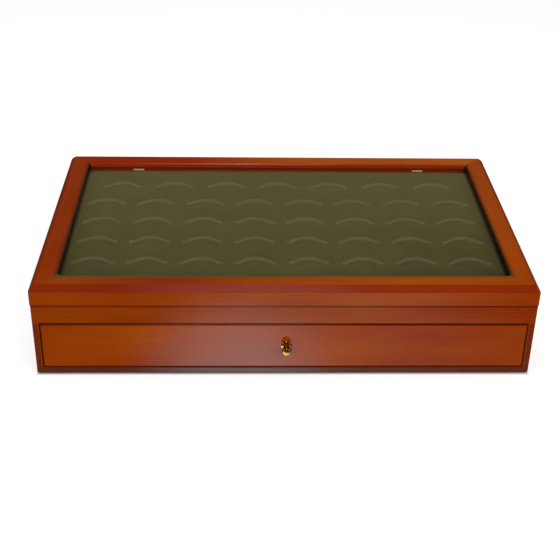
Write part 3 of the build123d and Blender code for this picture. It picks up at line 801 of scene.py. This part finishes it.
def felt_sheet(name, node_name, corner, rim, material):
    """A sheet of felt that fills a node's box, with round corners and a soft rim."""
    low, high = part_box(node_name)
    bpy.ops.object.select_all(action="DESELECT")
    bpy.ops.mesh.primitive_cube_add(size=1, location=(low + high) / 2, scale=high - low)
    sheet = bpy.context.object
    sheet.name = name
    settle(sheet)
    select_edges(sheet, lambda a, b: abs(a.z - b.z) > 0.5 * (high.z - low.z))
    bpy.ops.mesh.bevel(offset=corner, segments=CORNER_SEGMENTS, affect="EDGES")
    select_edges(sheet, lambda a, b: min(a.z, b.z) > high.z - NEAR)
    bpy.ops.mesh.bevel(offset=rim, segments=RIM_SEGMENTS, affect="EDGES")
    bpy.ops.object.mode_set(mode="OBJECT")
    bpy.ops.object.shade_smooth_by_angle(angle=math.radians(50))
    sheet.data.materials.clear()
    sheet.data.materials.append(material)
    print(name, "in mm:", [round(v / MM, 1) for v in high - low])
    return sheet


LINING_CORNER, LINING_RIM = 0.6 * MM, 0.5 * MM
FOOT_CORNER, FOOT_RIM = 4.0 * MM, 0.3 * MM
lining = felt_sheet("drawer_felt_lining", "drawer_lining", LINING_CORNER, LINING_RIM, drawer_felt)
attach(lining, "drawer")
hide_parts("drawer_lining")

foot = felt_sheet("underside_felt", "base_felt", FOOT_CORNER, FOOT_RIM, foot_felt)
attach(foot, "base")
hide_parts("base_felt")

# %% [markdown]
# ## Rubber dots
#
# Two small dots on the front rail carry the closed lid and leave the fine dark line under it. Each
# is a clear rubber dome. A low cylinder is the start; its top rim is bevelled round until it is a
# flat dome.

# %% Two dots
def clear_rubber():
    """Soft clear polyurethane: nearly clear, a little milky, with a soft shine."""
    material, tree = new_material("clear_soft_rubber")
    place = node(tree, "TexCoord").outputs["Object"]
    haze = node(tree, "TexNoise", {"Vector": place, "Scale": 1 / (0.8 * MM), "Detail": 2.0})
    roughness = node(tree, "MapRange", {0: haze.outputs[0], 3: 0.2, 4: 0.4})
    colour = node(tree, "Mix", {0: haze.outputs[0], 6: linear("#c9c4b4"), 7: linear("#dedac8")},
                  data_type="RGBA")
    shader = node(tree, "BsdfPrincipled", {
        "Base Color": colour.outputs[2], "Roughness": roughness.outputs[0], "IOR": 1.48,
        "Transmission Weight": 0.3,
    })
    node(tree, "OutputMaterial", {"Surface": shader.outputs[0]})
    return material


dots_low, dots_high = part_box("lid_bumpers")
dot_radius = (dots_high.y - dots_low.y) / 2
dot_height = dots_high.z - dots_low.z
DOME_SHARE = 0.8                          # of the dot's height is rounded
rubber = clear_rubber()
for name, x in (("rubber_dot_left", dots_low.x + dot_radius),
                ("rubber_dot_right", dots_high.x - dot_radius)):
    bpy.ops.object.select_all(action="DESELECT")
    bpy.ops.mesh.primitive_cylinder_add(
        vertices=32, radius=dot_radius, depth=dot_height,
        location=(x, (dots_low.y + dots_high.y) / 2, (dots_low.z + dots_high.z) / 2),
    )
    dot = bpy.context.object
    dot.name = name
    settle(dot)
    select_edges(dot, lambda a, b: min(a.z, b.z) > dots_high.z - NEAR)
    bpy.ops.mesh.bevel(offset=DOME_SHARE * dot_height, segments=4, affect="EDGES")
    bpy.ops.object.mode_set(mode="OBJECT")
    bpy.ops.object.shade_smooth_by_angle(angle=math.radians(40))
    dot.data.materials.append(rubber)
    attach(dot, "base")
    if name == "rubber_dot_left":
        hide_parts("lid_bumpers")
print("dots in mm:", round(2 * dot_radius / MM, 1), "x", round(dot_height / MM, 2))

# %% [markdown]
# ## Floor
#
# The case stands on a plain white table. It scatters light as paper does, so it shows the case's
# shadow, and for whatever looks straight at it it also glows a little, so that it is white. From
# below it is see-through, so that the underside can be looked at, and it isn't there at all under
# the case, so that light reaches the underside.
#
# A white table would be mirrored too, and then red lacquer looks milky. So the gloss mirrors
# another table: a dim one, on which a window's light falls in two pools just before the case. They
# give the drawer's lacquer its broad pale sheen. What goes through glass counts as gloss as well,
# so that is taken off again.

# %% A floor of paper
FLOOR_SIZE = 40.0
FLOOR_GLOW = 0.62
# The glow and the pools fade out along the case's edge, which paints a thin contact shadow there.
GLOW_FROM, GLOW_TO = -1.0 * MM, 1.5 * MM  # from the edge of the case outwards
POOLS_FROM, POOLS_TO = 0.0, 4.0 * MM
OPEN_UNDER = -8.0 * MM                    # inside this there is no floor
NEAR_POOL = ((-0.037, -0.12), (0.105, 0.15), 4.8)   # place, reach and strength
WIDE_POOL = ((0.05, -0.2), (0.2, 0.25), 1.0)


def pool(tree, place, reach, strength):
    """Light that falls off from a place, as a strength. reach is to the side and forwards."""
    away = node(tree, "Mapping", {
        "Vector": node(tree, "TexCoord").outputs["Object"],
        "Location": (*place, 0.0),
        "Scale": (*reach, 1.0),
    }, vector_type="TEXTURE").outputs[0]
    away = node(tree, "VectorMath", {0: away}, operation="LENGTH").outputs["Value"]
    return node(tree, "MapRange", {0: away, 1: 0.0, 2: 1.0, 3: strength, 4: 0.0},
                interpolation_type="SMOOTHERSTEP").outputs[0]


def table_paper():
    """White paper that the gloss sees as a dim table with two pools of window light."""
    material, tree = new_material("white_table_paper")
    path = node(tree, "LightPath").outputs
    case_low, case_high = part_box("base_bottom")
    outside = beyond(tree, node(tree, "TexCoord").outputs["Object"], "XY",
                     (case_low + case_high) / 2, (case_high - case_low) / 2)

    scatter = node(tree, "BsdfDiffuse", {"Color": linear("#bfbfbf")})
    straight = node(tree, "Math", {
        0: path["Is Camera Ray"], 1: path["Is Transmission Ray"],
    }, operation="MAXIMUM").outputs[0]
    glow = node(tree, "MapRange", {0: outside, 1: GLOW_FROM, 2: GLOW_TO, 3: 0.0, 4: FLOOR_GLOW})
    glow = node(tree, "Math", {0: straight, 1: glow.outputs[0]}, operation="MULTIPLY").outputs[0]
    glow = node(tree, "Emission", {"Strength": glow})
    paper = node(tree, "AddShader", {0: scatter.outputs[0], 1: glow.outputs[0]})

    pools = [pool(tree, *where) for where in (NEAR_POOL, WIDE_POOL)]
    pools = node(tree, "Math", {0: pools[0], 1: pools[1]}).outputs[0]
    # the pools fade at the case's edge too: painted contact shadow in the reflection
    beyond_contact_shade = node(tree, "MapRange", {0: outside, 1: POOLS_FROM, 2: POOLS_TO}).outputs[0]
    pools = node(tree, "Math", {0: pools, 1: beyond_contact_shade}, operation="MULTIPLY").outputs[0]
    pools = node(tree, "Emission", {"Color": linear("#c4f4ff"), "Strength": pools})
    table = node(tree, "Emission", {"Color": linear("#332b26")})
    mirrored = node(tree, "AddShader", {0: table.outputs[0], 1: pools.outputs[0]})

    in_gloss = node(tree, "Math", {0: path["Is Glossy Ray"], 1: path["Is Transmission Ray"]},
                    operation="SUBTRACT", use_clamp=True)
    paper = node(tree, "MixShader", {
        0: in_gloss.outputs[0], 1: paper.outputs[0], 2: mirrored.outputs[0],
    })
    below = node(tree, "NewGeometry").outputs["Backfacing"]
    under = node(tree, "Math", {0: outside, 1: OPEN_UNDER}, operation="LESS_THAN").outputs[0]
    absent = node(tree, "Math", {0: below, 1: under}, operation="MAXIMUM").outputs[0]
    nothing = node(tree, "BsdfTransparent").outputs[0]
    paper = node(tree, "MixShader", {0: absent, 1: paper.outputs[0], 2: nothing})
    node(tree, "OutputMaterial", {"Surface": paper.outputs[0]})
    return material


bpy.ops.object.select_all(action="DESELECT")
bpy.ops.mesh.primitive_plane_add(size=FLOOR_SIZE)
floor = bpy.context.object
floor.name = "floor"
floor.data.materials.append(table_paper())
print("floor:", FLOOR_SIZE, "m")

# %% [markdown]
# ## Surroundings
#
# Behind the case is a white backdrop, which is what the camera and, up to a small height, the glass
# show. Scattered light comes evenly from a grey room.
#
# The gloss mirrors a room of its own, for the same reason as with the table. It is nearly dark
# above, with warm paler walls below, a paler strip up the middle and a light horizon, which lie as
# a faint veil over the glass. Its windows are soft patches that only the gloss sees. Lamps could be
# mirrored instead, but large ones show as squares in the glass, and two of them as eyes in a knob.

# %% Backdrop, room and windows
BACKDROP_TOP, ROOM_START = 0.15, 0.3      # sines of the elevation, for what is seen through glass
HORIZON_GLOW = 0.28                       # sine up to which the mirrored room is a little lighter
WALL_TOP, DARK_FROM = 0.41, 0.53          # where the paler walls begin to fade, and have faded
STRIP_SIDE, DARK_SIDE = 0.06, 0.26        # the same for the paler strip, to either side
STRIP_DARK = 0.25                         # the strip's share of the darkness beside it
WINDOW_COLOUR = "#e4ecff"
WINDOWS = [                               # elevation, azimuth and reach in degrees, and strength
    (72, 0, 6.5, 32.0),                   # high and narrow: one thin light on the knob and the lips
    (59, 0, 7, 1.2),                      # below it: the soft sheen on the front bevel
    (25, 80, 24, 1.5),                    # broad and faint, for the sides of the knob
    (25, -80, 24, 1.5),
]


def mirrored_room(tree, direction):
    """The colour of the room that the gloss mirrors, without its windows."""
    parts = node(tree, "SeparateXYZ", {0: direction}).outputs
    aside = node(tree, "Math", {0: parts["X"]}, operation="ABSOLUTE").outputs[0]
    aside = node(tree, "MapRange", {0: aside, 1: STRIP_SIDE, 2: DARK_SIDE, 3: STRIP_DARK, 4: 1.0},
                 interpolation_type="SMOOTHSTEP").outputs[0]
    above = node(tree, "MapRange", {0: parts["Z"], 1: WALL_TOP, 2: DARK_FROM},
                 interpolation_type="SMOOTHSTEP").outputs[0]
    unlit = node(tree, "Math", {0: aside, 1: above}, operation="MULTIPLY").outputs[0]
    wall = node(tree, "Mix", {0: unlit, 6: linear("#857a54"), 7: linear("#24221e")},
                data_type="RGBA")
    horizon = node(tree, "MapRange", {0: parts["Z"], 1: 0.0, 2: HORIZON_GLOW, 3: 1.0, 4: 0.0})
    return node(tree, "Mix", {
        0: horizon.outputs[0], 6: wall.outputs[2], 7: linear("#948c80"),
    }, data_type="RGBA").outputs[2]


def mirrored_window(tree, direction, glossy, elevation, azimuth, reach, strength):
    """A soft patch of light for the gloss alone. Azimuth 0 is straight before the case."""
    up, round_from_front = math.radians(elevation), math.radians(azimuth)
    middle = (math.sin(round_from_front) * math.cos(up), -math.cos(round_from_front) * math.cos(up),
              math.sin(up))
    towards = node(tree, "VectorMath", {0: direction, 1: middle}, operation="DOT_PRODUCT")
    seen = node(tree, "MapRange", {
        0: towards.outputs["Value"], 1: math.cos(math.radians(reach)), 2: 1.0, 3: 0.0, 4: strength,
    }, interpolation_type="SMOOTHSTEP").outputs[0]
    seen = node(tree, "Math", {0: seen, 1: glossy}, operation="MULTIPLY").outputs[0]
    return node(tree, "Background", {"Color": linear(WINDOW_COLOUR), "Strength": seen})


world = bpy.data.worlds.new("studio")
bpy.context.scene.world = world
world.use_nodes = True
tree = world.node_tree
tree.nodes.clear()
path = node(tree, "LightPath").outputs
direction = node(tree, "TexCoord").outputs["Generated"]
height = node(tree, "SeparateXYZ", {0: direction}).outputs["Z"]
backdrop = node(tree, "MapRange", {0: height, 1: BACKDROP_TOP, 2: ROOM_START, 3: 1.0, 4: 0.0})
through = node(tree, "Math", {0: path["Is Transmission Ray"], 1: backdrop.outputs[0]},
               operation="MULTIPLY").outputs[0]
straight = node(tree, "Math", {0: path["Is Camera Ray"], 1: through},
                operation="MAXIMUM").outputs[0]
in_room = node(tree, "Math", {0: path["Is Glossy Ray"], 1: path["Is Transmission Ray"]},
               operation="MAXIMUM").outputs[0]
colour = node(tree, "Mix", {
    0: in_room, 6: linear("#a0a0a0"), 7: mirrored_room(tree, direction),
}, data_type="RGBA")
colour = node(tree, "Mix", {0: straight, 6: colour.outputs[2], 7: linear("#ffffff")},
              data_type="RGBA")
sky = node(tree, "Background", {"Color": colour.outputs[2], "Strength": 1.0})
for window in WINDOWS:
    light = mirrored_window(tree, direction, path["Is Glossy Ray"], *window)
    sky = node(tree, "AddShader", {0: sky.outputs[0], 1: light.outputs[0]})
node(tree, "OutputWorld", {"Surface": sky.outputs[0]})
print("backdrop up to", round(math.degrees(math.asin(BACKDROP_TOP))), "degrees; windows:",
      len(WINDOWS))

# %% [markdown]
# ## Light
#
# Large soft boxes stand to the left and right of the eye and one hangs overhead, so that no face is
# black. The right one is the stronger and warmer. They light the case but are not mirrored in it:
# that is left to the windows above. A few small lamps would do too, with harder shadows.

# %% Lamps
AIM = (0, 0, 0.05)                        # inside the case, 50 mm above the table


def soft_box(name, place, size, power, colour):
    """A square lamp that looks at the case."""
    bpy.ops.object.light_add(type="AREA", location=place)
    lamp = bpy.context.object
    lamp.name = name
    lamp.rotation_mode = "QUATERNION"
    lamp.rotation_quaternion = (Vector(AIM) - Vector(place)).to_track_quat("-Z", "Y")
    lamp.data.shape = "SQUARE"
    lamp.data.size = size
    lamp.data.energy = power
    lamp.data.color = linear(colour)[:3]
    lamp.visible_glossy = False
    lamp.visible_transmission = False


soft_box("right_box", (0.95, -1.25, 0.85), 0.8, 14.5, "#fff2e2")
soft_box("left_box", (-1.05, -1.15, 0.85), 0.8, 11.5, "#f4f6ff")
soft_box("top_box", (0.0, 0.15, 1.7), 1.1, 10, "#ffffff")
